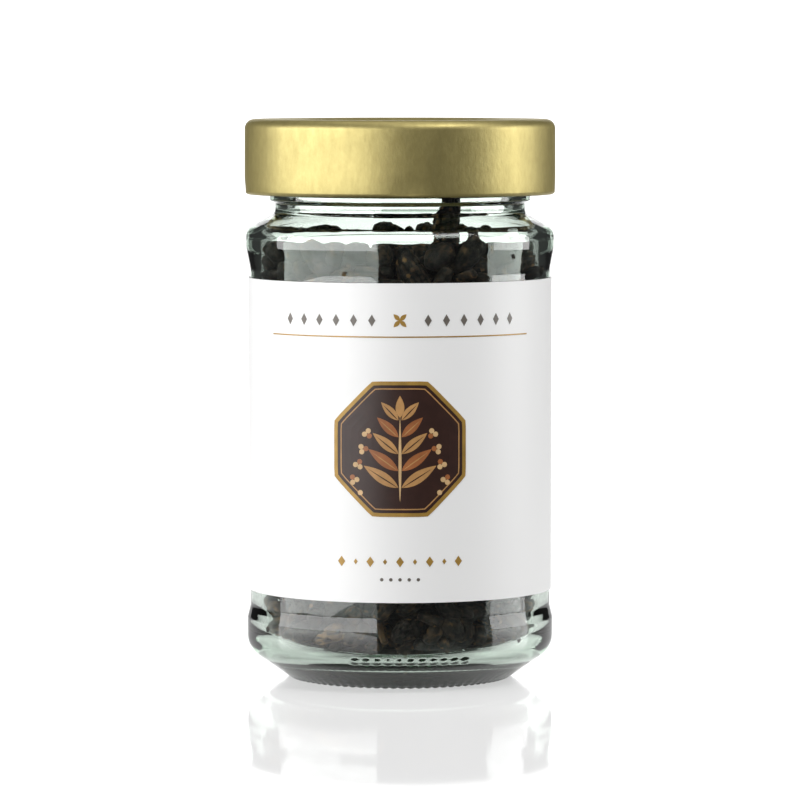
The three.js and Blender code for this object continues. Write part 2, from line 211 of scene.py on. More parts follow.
# Corners are (radius, height, fillet) in mm; a fillet becomes an arc tangent to both sides
def roundedProfile(corners, arcStep):
    points = []
    for k, (x, y, fillet) in enumerate(corners):
        corner = np.array([x, y], float)
        if not fillet:
            points.append(corner)
            continue
        back = np.array(corners[k - 1][:2], float) - corner
        ahead = np.array(corners[k + 1][:2], float) - corner
        back /= np.linalg.norm(back)
        ahead /= np.linalg.norm(ahead)
        turn = math.pi - math.acos(float(back @ ahead))
        inward = (back + ahead) / np.linalg.norm(back + ahead)
        centre = corner + inward * fillet / math.cos(turn / 2)
        start = corner + back * fillet * math.tan(turn / 2) - centre
        side = math.copysign(1, ahead[0] * back[1] - ahead[1] * back[0])
        steps = max(2, round(turn / math.radians(arcStep)))
        for step in range(steps + 1):
            angle = side * turn * step / steps
            cos, sin = math.cos(angle), math.sin(angle)
            turned = [start[0] * cos - start[1] * sin, start[0] * sin + start[1] * cos]
            points.append(centre + np.array(turned))
    return np.array(points)


# Adds points along a profile so that none are further apart than spacing, given per height
def refineProfile(profile, spacingAt):
    points = [profile[0]]
    for a, b in zip(profile[:-1], profile[1:]):
        pieces = max(1, math.ceil(np.linalg.norm(b - a) / spacingAt((a + b) / 2)))
        points += [a + (b - a) * k / pieces for k in range(1, pieces + 1)]
    return np.array(points)


def latheGrid(profile, segments, shape=None):
    azimuth = np.arange(segments) * 2 * math.pi / segments
    radius = np.repeat(profile[:, :1], segments, 1)
    height = np.repeat(profile[:, 1:], segments, 1)
    if shape:
        radius, height = shape(radius, height, azimuth[None, :])
    points = np.stack([radius * np.cos(azimuth), radius * np.sin(azimuth), height], -1).reshape(-1, 3)
    return points * mm, gridFaces(len(profile), segments)


# Joins a lathe whose profile starts and ends on the axis: each end ring becomes a fan on one point
def closeOnAxis(points, faces, segments):
    count = len(points)
    points = np.vstack([points[segments:count - segments], points[:1], points[-1:]])
    rings = len(points) - 2
    kept = (faces[segments:-segments] - segments).tolist()
    fans = []
    for apex, start, beside in ((rings, 0, kept[0]), (rings + 1, rings - segments, kept[-1])):
        # A fan faces the same way up as the band of faces beside it
        a, b, c = points[beside[:3]]
        up = np.cross(b - a, c - b)[2] > 0
        for k in range(segments):
            pair = [start + k, start + (k + 1) % segments]
            fans.append([apex] + (pair if up else pair[::-1]))
    return points, kept + fans


# Shader helpers


def newMaterial(name, colour, roughness, metallic=0.0):
    material = bpy.data.materials.new(name)
    material.use_nodes = True
    tree = material.node_tree
    shader = tree.nodes["Principled BSDF"]
    shader.inputs["Base Color"].default_value = (*colour, 1)
    shader.inputs["Roughness"].default_value = roughness
    shader.inputs["Metallic"].default_value = metallic
    return material, tree, shader


# Group: a soft mottle between two values, for lacquer, paper, pepper skin and liner
def buildMottle():
    group = bpy.data.node_groups.new("mottle", "ShaderNodeTree")
    sockets = (("Scale", 100.0), ("Stretch", 1.0), ("Detail", 4.0), ("Low", 0.0), ("High", 1.0))
    for name, value in sockets:
        socket = group.interface.new_socket(name=name, in_out="INPUT", socket_type="NodeSocketFloat")
        socket.default_value = value
    group.interface.new_socket(name="Value", in_out="OUTPUT", socket_type="NodeSocketFloat")
    given = addNode(group, "NodeGroupInput")
    result = addNode(group, "NodeGroupOutput")
    place = addNode(group, "ShaderNodeTexCoord")
    stretch = addNode(group, "ShaderNodeCombineXYZ")
    stretch.inputs["X"].default_value = 1
    stretch.inputs["Y"].default_value = 1
    scaled = addNode(group, "ShaderNodeVectorMath", operation="MULTIPLY")
    noise = addNode(group, "ShaderNodeTexNoise")
    noise.inputs["Roughness"].default_value = 0.6
    spread = addNode(group, "ShaderNodeMapRange")
    spread.inputs["From Min"].default_value = 0.3
    spread.inputs["From Max"].default_value = 0.7
    links = group.links
    links.new(given.outputs["Stretch"], stretch.inputs["Z"])
    links.new(place.outputs["Object"], scaled.inputs[0])
    links.new(stretch.outputs[0], scaled.inputs[1])
    links.new(scaled.outputs[0], noise.inputs["Vector"])
    links.new(given.outputs["Scale"], noise.inputs["Scale"])
    links.new(given.outputs["Detail"], noise.inputs["Detail"])
    links.new(noise.outputs["Fac"], spread.inputs["Value"])
    links.new(given.outputs["Low"], spread.inputs["To Min"])
    links.new(given.outputs["High"], spread.inputs["To Max"])
    links.new(spread.outputs["Result"], result.inputs["Value"])
    return group


mottleGroup = buildMottle()


def addMottle(tree, scale, low, high, stretch=1.0, detail=4.0):
    node = addNode(tree, "ShaderNodeGroup", node_tree=mottleGroup)
    given = {"Scale": scale, "Stretch": stretch, "Detail": detail, "Low": low, "High": high}
    for name, value in given.items():
        node.inputs[name].default_value = value
    return node.outputs["Value"]


def addBump(tree, shader, height, strength, distance):
    bump = addNode(tree, "ShaderNodeBump")
    bump.inputs["Strength"].default_value = strength
    bump.inputs["Distance"].default_value = distance
    tree.links.new(height, bump.inputs["Height"])
    tree.links.new(bump.outputs["Normal"], shader.inputs["Normal"])


def mixColours(tree, factor, dark, light):
    mix = addNode(tree, "ShaderNodeMix", data_type="RGBA")
    tree.links.new(factor, mix.inputs["Factor"])
    for socket, colour in ((mix.inputs[6], dark), (mix.inputs[7], light)):
        if hasattr(colour, "is_linked"):
            tree.links.new(colour, socket)
        else:
            socket.default_value = (*colour, 1)
    return mix.outputs[2]


# Jar glass

jarGlass = {
    "segments": 324,
    "arcStep": 9,
    "corners": [
        (0, 1.6, 0), (19.5, 0.9, 0), (20.8, 0, 0.5), (23.2, 0, 0.5), (32.6, 6.4, 5.0), (32.6, 13.0, 1.8),
        (31.95, 15.6, 1.8), (31.95, 87.0, 4.0), (32.8, 91.6, 4.0), (32.8, 95.46, 2.6), (26.6, 99.0, 1.4),
        (26.6, 101.1, 0.4), (27.7, 101.6, 0.3), (27.7, 102.7, 0.3), (27.2, 103.1, 0.3), (27.2, 117.1, 1.2),
        (24.4, 117.1, 1.2), (24.0, 97.8, 1.6), (29.65, 94.4, 2.2), (29.65, 5.7, 6.5), (0, 5.0, 0),
    ],
    "threadRows": (103, 112, 27, 0.35), "heelRows": (9, 19, 0.45), "otherRows": 4.0,
    "finish": 27.2, "finishFrom": 103.2,
    "threadStarts": 4, "threadAt": 4, "threadHeight": 105.8, "threadRise": 10 / 360, "threadOut": 1.7,
    "threadCrest": 0.35, "threadRoot": 0.95, "threadFrom": -15, "threadTo": 55, "threadFade": 7,
    "grooves": 81, "grooveDepth": 0.24, "grooveTop": 1.6, "grooveInner": (20.2, 21.0),
    "grooveOuter": (23.5, 24.4), "ribOut": 0.12, "ribFrom": (22.6, 23.4), "ribTop": (1.2, 2.4),
    "marks": 11, "markFrom": -107, "markStep": 4.2, "markRadius": 0.75, "markOut": 0.3, "markHeight": 6.7,
    "markRound": 31, "markFlat": 0.35, "markInner": 30.2,
    "wave": 0.035, "waveFrom": (0.5, 4), "waveInner": 24.5, "waveTop": 97,
    "tint": (0.985, 1.0, 0.99), "absorbed": (0.42, 0.76, 0.50), "density": 42.0,
}


def shapeJar(radius, height, azimuth):
    g = jarGlass
    degrees = np.degrees(azimuth)
    outside = radius > g["finish"] - 0.35
    # Threads: four short ridges that climb counter-clockwise
    turn = 360 / g["threadStarts"]
    along = (degrees - g["threadAt"] - g["threadFrom"]) % turn + g["threadFrom"]
    middle = g["threadHeight"] + g["threadRise"] * along
    ends = np.minimum(along - g["threadFrom"], g["threadTo"] - along) / g["threadFade"]
    ridge = 1 - smoothStep(g["threadCrest"], g["threadRoot"], np.abs(height - middle))
    radius = radius + g["threadOut"] * ridge * smoothStep(0, 1, ends) * outside * (height > g["finishFrom"])
    # Stippled foot: grooves across the ring that the jar stands on
    onFoot = smoothStep(*g["grooveInner"], radius) * (1 - smoothStep(*g["grooveOuter"], radius))
    onFoot = onFoot * (height < g["grooveTop"])
    groove = 0.5 - 0.5 * np.cos(azimuth * g["grooves"])
    height = height + g["grooveDepth"] * groove ** 2 * onFoot
    # The ribs between the grooves run a little way up the outside of the foot
    ribbed = smoothStep(*g["ribFrom"], radius) * (1 - smoothStep(*g["ribTop"], height))
    radius = radius + g["ribOut"] * (0.5 - groove) * ribbed
    # Mould marks: a row of small raised dots on the heel
    for k in range(g["marks"]):
        across = (degrees - 360 - (g["markFrom"] + g["markStep"] * k) + 180) % 360 - 180
        away = np.hypot(np.radians(across) * g["markRound"], height - g["markHeight"]) / g["markRadius"]
        dot = (1 - smoothStep(g["markFlat"], 1, away)) * (radius > g["markInner"])
        radius = radius + g["markOut"] * dot
    # Pressed glass is never quite true
    wave = np.sin(azimuth * 3 + height * 0.09) + np.sin(azimuth * 7 - height * 0.23 + 1)
    waved = smoothStep(*g["waveFrom"], height) * (radius > g["waveInner"]) * (height < g["waveTop"])
    radius = radius + g["wave"] * wave * waved
    return radius, height


def glassMaterial():
    g = jarGlass
    material, tree, shader = newMaterial("clearGreenGlass", g["tint"], 0.0)
    shader.inputs["Transmission Weight"].default_value = 1
    shader.inputs["IOR"].default_value = 1.5
    absorb = addNode(tree, "ShaderNodeVolumeAbsorption")
    absorb.inputs["Color"].default_value = (*g["absorbed"], 1)
    absorb.inputs["Density"].default_value = g["density"]
    tree.links.new(absorb.outputs[0], tree.nodes["Material Output"].inputs["Volume"])
    return material


# Rows of points are close together on the thread and the heel, and far apart on plain walls
def jarSpacing(point):
    radius, height = point
    low, high, inner, spacing = jarGlass["threadRows"]
    if low < height < high and radius > inner:
        return spacing
    top, inner, spacing = jarGlass["heelRows"]
    if height < top and radius > inner:
        return spacing
    return jarGlass["otherRows"]


def buildJar():
    g = jarGlass
    profile = refineProfile(roundedProfile(g["corners"], g["arcStep"]), jarSpacing)
    points, faces = latheGrid(profile, g["segments"], shapeJar)
    faces = turnOutward(points, faces)
    points, faces = closeOnAxis(points, faces, g["segments"])
    addPiece("jar_body", points, faces, [glassMaterial()], "jar", ["jar_glass"])
    print("jar:", len(faces), "faces")


buildJar()

# Lid: deep gold twist-off cap, its sheet rolled under at the bottom, with four lugs

goldLid = {
    "segments": 192,
    "arcStep": 10,
    "corners": [
        (0, 118.2, 0), (21.6, 118.2, 0.8), (22.9, 118.8, 0.8), (32.95, 118.8, 2.0),
        (33.0, 102.9, 0.85), (30.6, 102.9, 0.85), (30.6, 104.7, 0.8), (32.5, 105.1, 0.4),
        (32.55, 118.5, 1.7), (22.9, 118.5, 0.5), (21.6, 117.9, 0.5), (0, 117.9, 0),
    ],
    "skirtRows": (32.4, 109, 0.4), "curlRows": (30, 31.4, 102.95, 104.8, 0.25), "otherRows": 3.0,
    "curlOuter": 31.4, "curlTop": 105,
    "lugs": 4, "lugAt": 4, "lugHalf": (4.8, 6.0), "lugReach": 2.8,
    "lugFoot": (102.95, 103.3), "lugTop": (104.15, 104.5),
    "dentHalf": 12, "dentDepth": 0.3, "dentFoot": (103, 103.8), "dentTop": (105.9, 104.1),
    "colour": (0.435, 0.368, 0.148), "dark": (0.375, 0.313, 0.120), "metal": 0.82, "roughness": (0.42, 0.50),
}


def shapeLid(radius, height, azimuth):
    g = goldLid
    turn = 360 / g["lugs"]
    across = (np.degrees(azimuth) - g["lugAt"] + turn / 2) % turn - turn / 2
    onLug = 1 - smoothStep(*g["lugHalf"], np.abs(across))
    onCurl = (radius < g["curlOuter"]) & (height < g["curlTop"])
    level = smoothStep(*g["lugFoot"], height) * (1 - smoothStep(*g["lugTop"], height))
    # The skirt is drawn in a little over each lug
    pressed = 1 - smoothStep(0, g["dentHalf"], np.abs(across))
    pressed = pressed * smoothStep(*g["dentTop"], height) * smoothStep(*g["dentFoot"], height)
    pressed = pressed * (radius > g["curlOuter"])
    return radius - g["lugReach"] * onLug * level * onCurl - g["dentDepth"] * pressed, height


def lidSpacing(point):
    radius, height = point
    inner, top, spacing = goldLid["skirtRows"]
    if radius > inner and height < top:
        return spacing
    inner, outer, low, high, spacing = goldLid["curlRows"]
    if inner < radius < outer and low < height < high:
        return spacing
    return goldLid["otherRows"]


def lidMaterial():
    g = goldLid
    material, tree, shader = newMaterial("goldLacquer", g["colour"], 0.35, g["metal"])
    colour = mixColours(tree, addMottle(tree, 900, 0, 1, 0.5), g["dark"], g["colour"])
    tree.links.new(colour, shader.inputs["Base Color"])
    low, high = g["roughness"]
    tree.links.new(addMottle(tree, 260, low, high, 0.3), shader.inputs["Roughness"])
    addBump(tree, shader, addMottle(tree, 1300, 0, 1, 0.6, 3), 0.30, 0.00005)
    return material


def buildLid():
    g = goldLid
    profile = refineProfile(roundedProfile(g["corners"], g["arcStep"]), lidSpacing)
    points, faces = latheGrid(profile, g["segments"], shapeLid)
    faces = turnOutward(points, faces)
    points, faces = closeOnAxis(points, faces, g["segments"])
    addPiece("gold_lid", points, faces, [lidMaterial()], "lid", ["jar_lid"])
    print("lid:", len(faces), "faces")


buildLid()

# Liner: a ring of flowed-in compound, pressed a little where the rim sits

sealLiner = {
    "segments": 128, "inner": 23.6, "outer": 29.0, "low": 117.35, "high": 118.25, "soft": 0.3,
    "pressedAt": 26.3, "pressedBy": 0.12, "colour": (0.80, 0.76, 0.66),
}


def buildLiner():
    g = sealLiner
    pressed = (g["pressedAt"], g["low"] + g["pressedBy"], 0)
    around = [("outer", "low"), ("outer", "high"), ("inner", "high"), ("inner", "low")]
    corners = [pressed] + [(g[side], g[level], g["soft"]) for side, level in around] + [pressed]
    profile = roundedProfile(corners, 20)
    points, faces = latheGrid(profile[:-1], g["segments"])
    rings = len(profile) - 1
    ring = np.arange(g["segments"])
    following = (ring + 1) % g["segments"]
    last = (rings - 1) * g["segments"]
    faces = np.vstack([faces, np.stack([last + ring, last + following, following, ring], -1)])
    faces = turnOutward(points, faces)
    material, tree, shader = newMaterial("sealCompound", g["colour"], 0.55)
    addBump(tree, shader, addMottle(tree, 500, 0, 1), 0.2, 0.0001)
    addPiece("seal_ring", points, faces, [material], "seal", ["lid_liner"])
    print("liner:", len(faces), "faces")


buildLiner()

# Label: one white sheet round the panel, open at the back

wrapLabel = {
    "inner": 32.05, "outer": 32.25, "low": 19.05, "high": 85.3, "halfAngle": 172.5, "columns": 240, "rows": 8,
    "colour": (0.86, 0.86, 0.855), "roughness": 0.42,
}


def onLabel(u, v, lift=0.0):
    radius = wrapLabel["outer"] + np.asarray(lift, float)
    turn = np.asarray(u, float) / wrapLabel["outer"]
    return np.stack([radius * np.sin(turn), -radius * np.cos(turn), np.asarray(v, float) + 0 * turn], -1) * mm


def buildLabel():
    g = wrapLabel
    half = math.radians(g["halfAngle"]) * g["outer"]
    u = np.linspace(-half, half, g["columns"])
    v = np.linspace(g["low"], g["high"], g["rows"])
    thick = g["outer"] - g["inner"]
    # One loop of points up the front and down the back at each column, closed at both ends
    loopV = np.concatenate([v, v[::-1]])
    loopLift = np.concatenate([np.zeros(g["rows"]), np.full(g["rows"], -thick)])
    points = np.concatenate([onLabel(np.full(len(loopV), x), loopV, loopLift) for x in u])
    loop = len(loopV)
    faces = gridFaces(g["columns"], loop).tolist()
    rows = g["rows"]
    last = (g["columns"] - 1) * loop
    for k in range(rows - 1):
        a, b, c, d = k, k + 1, loop - 2 - k, loop - 1 - k
        faces.append([a, b, c, d])
        faces.append([last + d, last + c, last + b, last + a])
    faces = turnOutward(points, np.array(faces))
    material, tree, shader = newMaterial("satinPaper", g["colour"], g["roughness"])
    satin = addMottle(tree, 700, g["roughness"] - 0.05, g["roughness"] + 0.06)
    tree.links.new(satin, shader.inputs["Roughness"])
    addBump(tree, shader, addMottle(tree, 1800, 0, 1), 0.08, 0.00003)
    label = addPiece("wrap_label", points, faces, [material], "jar", ["jar_label"])
    label.data.set_sharp_from_angle(angle=math.radians(40))
    print("label:", len(faces), "faces")


buildLabel()

# Print on the label: a hairline, rows of lozenges and an eight-sided medallion with a berry sprig

labelPrint = {
    "lift": 0.03, "thick": 0.02, "step": 1.6,
    "hairline": {"v": 74.2, "half": 31.0, "width": 0.28},
    "topRow": {"v": 77.6, "count": 14, "pitch": 3.9, "width": 0.75, "height": 1.25, "clear": 3},
    "nameRow": {"v": 27.6, "count": 9, "pitch": 3.1, "width": 0.8, "height": 1.1},
    "dotRow": {"v": 23.9, "count": 5, "pitch": 1.9, "radius": 0.36},
    "medallion": {"v": 51.0, "radius": 15.2, "border": 0.85, "sides": 8, "round": 0.18, "inset": (0.7, 0.95)},
    "sprig": {
        "foot": -11.0, "top": 7.0, "stemHalf": 0.38, "pairs": 5, "firstPair": 3.0, "trim": 4.0,
        "longest": 8.6, "shorter": 3.4, "spread": 58, "closer": 14, "bladeHalf": 1.45, "bladeLess": 0.35,
        "veinLength": 0.86, "veinHalf": 0.14, "tipLength": 4.6, "tipHalf": 1.1, "tipSunk": 0.5,
        "berryFrom": 1.4, "berryPitch": 3.2, "berryReach": 10.6, "berryCloser": 0.95, "lowestCloser": 2.0,
        "cluster": 3, "clusterRadius": 0.62, "berryRadius": 0.55, "berryClear": 2.0,
    },
    "inks": {
        "gold": (0.42, 0.25, 0.055), "grey": (0.16, 0.14, 0.12), "ground": (0.035, 0.014, 0.010),
        "rust": (0.36, 0.13, 0.045), "ochre": (0.50, 0.27, 0.10), "tan": (0.66, 0.44, 0.22),
    },
}
inkNames = list(labelPrint["inks"])
printed = {"points": [], "faces": [], "inks": [], "count": 0}


def inkMaterials():
    made = []
    for name, colour in labelPrint["inks"].items():
        material, tree, shader = newMaterial(name + "Ink", colour, 0.38, 0.2 if name == "gold" else 0.0)
        deep = tuple(part * 0.72 for part in colour)
        blended = mixColours(tree, addMottle(tree, 420, 0, 1), deep, colour)
        tree.links.new(blended, shader.inputs["Base Color"])
        made.append(material)
    return made


def keepPrinted(points, faces, ink):
    printed["points"].append(points)
    printed["faces"] += [[k + printed["count"] for k in face] for face in faces]
    printed["inks"] += [inkNames.index(ink)] * len(faces)
    printed["count"] += len(points)


# A flat shape that can be seen whole from its middle becomes a thin slab wrapped on the label
def printShape(outline, ink, layer=1, middle=None):
    p = labelPrint
    outline = np.asarray(outline, float)
    middle = outline.mean(0) if middle is None else np.asarray(middle, float)
    size = np.abs(outline - middle).max()
    rings = max(1, math.ceil(size / p["step"]))
    count = len(outline)
    flat = [middle[None, :]] + [middle + (outline - middle) * (k + 1) / rings for k in range(rings)]
    flat = np.vstack(flat)
    top = onLabel(flat[:, 0], flat[:, 1], p["lift"] + p["thick"] * layer)
    bottom = onLabel(flat[:, 0], flat[:, 1], -p["thick"])
    faces = []
    for k in range(count):
        n = (k + 1) % count
        faces.append([0, 1 + k, 1 + n])
        for ring in range(rings - 1):
            a, b = 1 + ring * count + k, 1 + ring * count + n
            faces.append([a, a + count, b + count, b])
    under = [[len(flat) + i for i in face[::-1]] for face in faces]
    edge = 1 + (rings - 1) * count
    for k in range(count):
        a, b = edge + k, edge + (k + 1) % count
        faces.append([b, a, a + len(flat), b + len(flat)])
    keepPrinted(np.vstack([top, bottom]), faces + under, ink)


def printBand(outer, inner, ink, layer=1):
    p = labelPrint
    outer, inner = np.asarray(outer, float), np.asarray(inner, float)
    count = len(outer)
    high = p["lift"] + p["thick"] * layer
    rings = [onLabel(inner[:, 0], inner[:, 1], high), onLabel(outer[:, 0], outer[:, 1], high),
             onLabel(outer[:, 0], outer[:, 1], -p["thick"]), onLabel(inner[:, 0], inner[:, 1], -p["thick"])]
    faces = []
    for k in range(count):
        n = (k + 1) % count
        for ring in range(4):
            here, there = ring * count, ((ring + 1) % 4) * count
            faces.append([here + k, there + k, there + n, here + n])
    keepPrinted(np.vstack(rings), faces, ink)


def lozenge(u, v, width, height):
    return [(u + width, v), (u, v + height), (u - width, v), (u, v - height)]


def disc(u, v, radius, count=24):
    turn = np.arange(count) * 2 * math.pi / count
    return np.stack([u + radius * np.cos(turn), v + radius * np.sin(turn)], -1)


# A regular outline with softened corners and extra points on its sides
def softPolygon(v, radius, sides, soft, perSide=14):
    turn = (np.arange(sides * perSide)) * 2 * math.pi / (sides * perSide)
    sector = 2 * math.pi / sides
    fromCorner = np.abs((turn % sector) - sector / 2)
    flat = radius * math.cos(sector / 2) / np.cos(fromCorner)
    reach = flat * (1 - soft) + np.minimum(flat, radius * (1 - soft * 0.2)) * soft
    return np.stack([reach * np.cos(turn + sector / 2), v + reach * np.sin(turn + sector / 2)], -1)


def leaf(u, v, angle, length, width, count=12):
    t = np.linspace(0, 1, count)
    half = width * np.sin(math.pi * t) ** 0.85 * (1 - 0.35 * t)
    side = np.concatenate([half, -half[-2:0:-1]])
    along = length * np.concatenate([t, t[-2:0:-1]])
    cos, sin = math.cos(angle), math.sin(angle)
    return np.stack([u + along * cos - side * sin, v + along * sin + side * cos], -1)


def buildPrint():
    p = labelPrint
    line = p["hairline"]
    count = 60
    u = np.linspace(-line["half"], line["half"], count)
    up = np.full(count, line["width"] / 2)
    outline = np.stack([np.concatenate([u, u[::-1]]), line["v"] + np.concatenate([up, -up])], -1)
    # The hairline is a strip, so it is laid as short slabs
    for k in range(0, count - 1):
        short = [outline[k], outline[k + 1], outline[2 * count - 2 - k], outline[2 * count - 1 - k]]
        printShape(short[::-1], "gold")
    row = p["topRow"]
    for k in range(row["count"]):
        at = (k - (row["count"] - 1) / 2) * row["pitch"]
        if abs(at) > row["clear"]:
            printShape(lozenge(at, row["v"], row["width"], row["height"]), "grey")
    for k in range(4):
        turn = k * math.pi / 2
        printShape(leaf(0, row["v"], turn + math.pi / 4, 1.9, 0.55, 8), "gold")
    row = p["nameRow"]
    for k in range(row["count"]):
        at = (k - (row["count"] - 1) / 2) * row["pitch"]
        size = 1.0 if k % 2 == 0 else 0.55
        printShape(lozenge(at, row["v"], row["width"] * size, row["height"] * size), "gold")
    row = p["dotRow"]
    for k in range(row["count"]):
        printShape(disc((k - (row["count"] - 1) / 2) * row["pitch"], row["v"], row["radius"], 16), "grey")
    buildMedallion(p["medallion"])
    points, inks = np.vstack(printed["points"]), inkMaterials()
    piece = addPiece("label_print", points, printed["faces"], inks, "jar",
                     faceMaterials=printed["inks"])
    piece.data.shade_flat()
    print("label print:", len(printed["faces"]), "faces")


def buildMedallion(m):
    within = m["radius"] - m["border"]
    reaches = [m["radius"], within] + [within - inset for inset in m["inset"]]
    outer, inner, thin, thinner = [softPolygon(m["v"], reach, m["sides"], m["round"]) for reach in reaches]
    printShape(inner, "ground", 0, (0, m["v"]))
    printBand(outer, inner, "gold", 2)
    printBand(thin, thinner, "ochre", 1)
    buildSprig(m, labelPrint["sprig"])


# A sprig: a stem with paired leaves, getting shorter upwards, and berries between them
def buildSprig(m, s):
    foot, top = m["v"] + s["foot"], m["v"] + s["top"]
    printShape(leaf(0, foot, math.pi / 2, top - foot, s["stemHalf"], 16), "tan", 1)
    for k in range(s["pairs"]):
        share = k / (s["pairs"] - 1)
        height = foot + s["firstPair"] + (top - foot - s["trim"]) * share
        length = s["longest"] - s["shorter"] * share
        for side in (-1, 1):
            angle = math.pi / 2 - side * math.radians(s["spread"] - s["closer"] * share)
            blade = leaf(side * 0.3, height, angle, length, s["bladeHalf"] - s["bladeLess"] * share)
            printShape(blade, "rust" if k % 2 else "ochre", 1)
            vein = leaf(side * 0.4, height, angle, length * s["veinLength"], s["veinHalf"])
            printShape(vein, "ochre" if k % 2 else "ground", 2)
    printShape(leaf(0, top - s["tipSunk"], math.pi / 2, s["tipLength"], s["tipHalf"]), "ochre", 1)
    for k in range(s["pairs"]):
        height = foot + s["berryFrom"] + s["berryPitch"] * k
        reach = s["berryReach"] - s["berryCloser"] * k - s["lowestCloser"] * (k == 0)
        for side in (-1, 1):
            for berry in range(s["cluster"]):
                turn = 2 * math.pi * berry / s["cluster"] + k
                across, up = s["clusterRadius"] * math.cos(turn), s["clusterRadius"] * math.sin(turn)
                centre = (side * (reach + across), height + up)
                if np.hypot(centre[0], centre[1] - m["v"]) < m["radius"] - m["border"] - s["berryClear"]:
                    printShape(disc(*centre, s["berryRadius"], 14), "tan" if berry else "rust", 2)


buildPrint()

# Long peppers: each follows its CAD node's rings and is covered with rows of small berries

longPepper = {
    "seed": 77, "taper": 0.16, "endPower": 5, "endRoot": 0.42,
    "ringGap": 0.5, "stalkBelow": 1.3, "capShare": 0.03, "tipShare": 0.006,
    "berry": 1.40, "berrySpread": 0.12, "domeReach": 0.54, "depth": 0.74, "jitter": 0.13, "lumps": 0.28,
    "fine": (72, 0.34), "coarse": (32, 0.80), "thinning": 3,
    "seenAbove": 82.5, "seenBelow": 21.0, "seamHalf": 16.0, "seamOut": 19.0,
    "rowPitch": 0.86, "rowTwist": 0.11, "toneSpread": 0.22, "wholeToneSpread": 0.14,
    "scarDepth": 0.22, "scarRadius": 0.13, "fullDepthAt": 2.2,
    "stalkRadius": 0.85, "stalkSides": 14, "stalkRows": 9, "stalkRelief": 0.8, "stalkTone": 0.75,
}


def uniquePoints(node):
    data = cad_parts[node].data
    points = np.empty(len(data.vertices) * 3)
    data.vertices.foreach_get("co", points)
    return np.unique(np.round(points.reshape(-1, 3) / mm, 3), axis=0)


# The CAD pepper is a row of flat rings, so its points fall into clusters along its length
def readRings(node):
    points = uniquePoints(node)
    axis = np.linalg.svd(points - points.mean(0), full_matrices=False)[2][0]
    along = (points - points.mean(0)) @ axis
    order = np.argsort(along)
    cuts = np.flatnonzero(np.diff(along[order]) > longPepper["ringGap"]) + 1
    rings = np.split(points[order], cuts)
    centres = np.array([ring.mean(0) for ring in rings])
    girths = np.array([np.linalg.norm(ring - ring.mean(0), axis=1).max() for ring in rings])
    return centres, girths


def pepperShape(share):
    g = longPepper
    ends = np.clip(1 - np.abs(2 * share - 1) ** g["endPower"], 0, None) ** g["endRoot"]
    return (1 - g["taper"] * share) * ends


def readPepper(node):
    centres, girths = readRings(node)
    thick = np.flatnonzero(girths > longPepper["stalkBelow"])
    first, last = thick[0], thick[-1]
    # The blunt end is thicker, and a stalk shows which end it is
    leading, trailing = first, len(girths) - 1 - last
    backwards = trailing > leading or (trailing == leading and girths[first] < girths[last])
    if backwards:
        centres, girths = centres[::-1], girths[::-1]
        first, last = len(girths) - 1 - last, len(girths) - 1 - first
    hasStalk = first > 1
    body = centres[first:last + 1]
    reach = np.concatenate([[0], np.cumsum(np.linalg.norm(np.diff(body, axis=0), axis=1))])
    # The end rings lie a little in from the ends of the body
    capShare = longPepper["capShare"]
    length = reach[-1] / (1 - 2 * capShare)
    share = capShare + reach / length
    curve = [np.polyfit(share, body[:, k], 2) for k in range(3)]
    radius = float(np.median(girths[first:last + 1] / pepperShape(share)))
    stalkTip = centres[0] if hasStalk else None
    return {"curve": curve, "length": length, "radius": radius, "stalkTip": stalkTip, "centres": centres}


def spineAt(pepper, share):
    return np.stack([np.polyval(row, share) for row in pepper["curve"]], -1)


def spineFrame(pepper, share):
    step = 1e-3
    ahead = spineAt(pepper, share + step) - spineAt(pepper, share - step)
    ahead /= np.linalg.norm(ahead, axis=-1, keepdims=True)
    guide = np.array([0.0, 0.0, 1.0]) if abs(ahead[len(ahead) // 2][2]) < 0.8 else np.array([1.0, 0.0, 0.0])
    side = np.cross(ahead, guide)
    side /= np.linalg.norm(side, axis=-1, keepdims=True)
    return ahead, side, np.cross(ahead, side)


# Evenly spaced places down the outline, from the centre of one end to the centre of the other
def outlineShares(pepper, spacing):
    fine = (1 - np.cos(np.linspace(0, math.pi, 900))) / 2
    radius = pepper["radius"] * pepperShape(fine)
    steps = np.hypot(np.diff(fine) * pepper["length"], np.diff(radius))
    walked = np.concatenate([[0], np.cumsum(steps)])
    count = max(12, round(walked[-1] / spacing))
    return np.interp(np.linspace(0, walked[-1], count), walked, fine)


def onPepper(pepper, share, turn, radius):
    ahead, side, other = spineFrame(pepper, share)
    shape = (share.shape[0], turn.shape[-1], 3)
    spokes = side[:, None, :] * np.cos(turn)[..., None] + other[:, None, :] * np.sin(turn)[..., None]
    return np.broadcast_to(spineAt(pepper, share)[:, None, :], shape) + spokes * radius[..., None]


def berryCentres(pepper, chance):
    g = longPepper
    shares, turns = [], []
    for row, share in enumerate(outlineShares(pepper, g["berry"] * g["rowPitch"])):
        radius = pepper["radius"] * float(pepperShape(np.array(share)))
        count = max(1, round(2 * math.pi * radius / g["berry"]))
        turn = (np.arange(count) + 0.5 * (row % 2)) * 2 * math.pi / count + row * g["rowTwist"]
        turns.append(turn + chance.normal(0, g["jitter"] * g["berry"] / max(radius, 0.7), count))
        shares.append(share + chance.normal(0, g["jitter"] * 0.6 / pepper["length"], count))
    shares, turns = np.clip(np.concatenate(shares), 0, 1), np.concatenate(turns)[:, None]
    return onPepper(pepper, shares, turns, pepper["radius"] * pepperShape(shares)[:, None])[:, 0]


